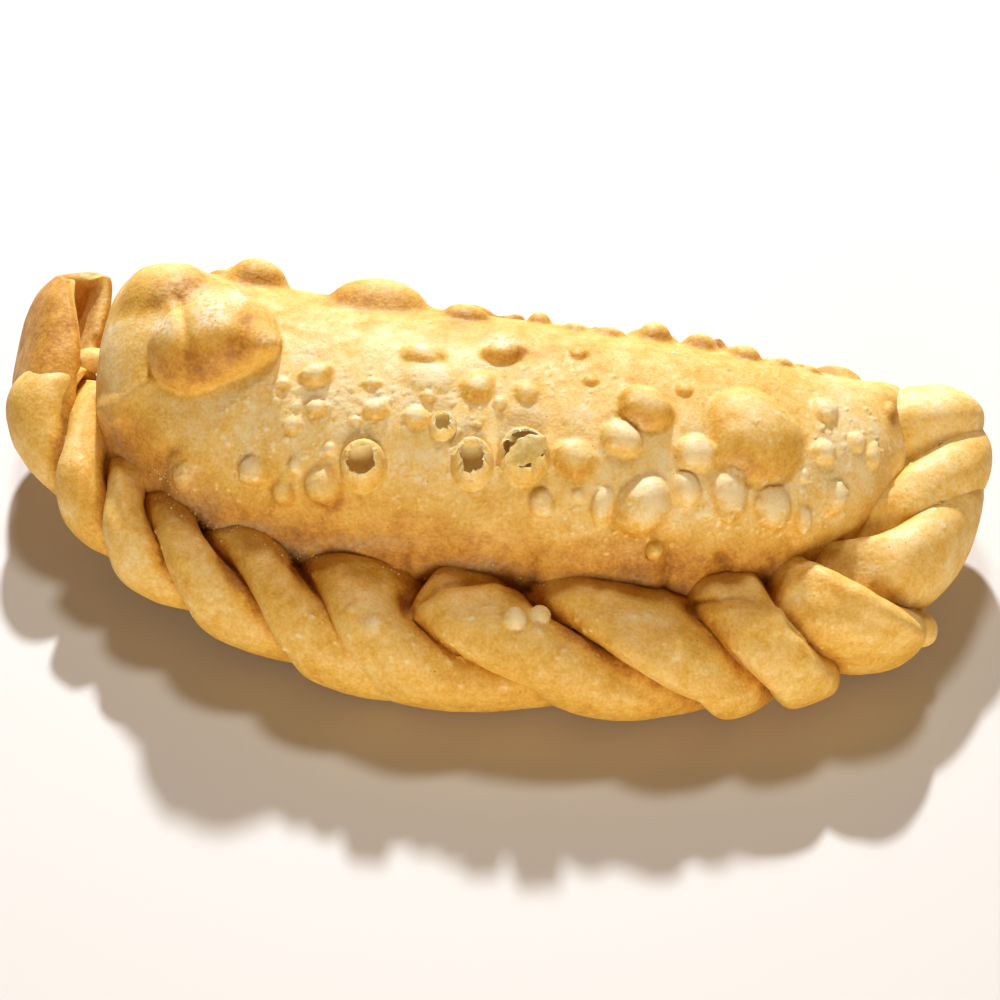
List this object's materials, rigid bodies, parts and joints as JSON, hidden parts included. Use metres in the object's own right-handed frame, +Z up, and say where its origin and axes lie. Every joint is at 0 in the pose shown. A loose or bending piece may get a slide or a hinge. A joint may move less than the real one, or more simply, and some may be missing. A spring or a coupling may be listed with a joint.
{
  "type": "meat empanadilla",
  "caption": "Fried half-moon turnover with a fat blistered belly, a rope edge of rolled folds along its curved front and an open dough cornet at its left tip.",
  "frame": {"origin": "middle of the pie's box, on the surface that it rests on", "axes": "+X along the pie towards its blunt right tip, +Y towards the folded back, +Z up"},
  "size_m": [0.1246, 0.0588, 0.0356],
  "materials": {
    "fried_dough": "golden fried wheat crust, cream on top and darker gold low down and in the creases, faintly oily"
  },
  "bodies": {
    "root": {"empanadilla": "fried_dough"}
  },
  "joints": []
}
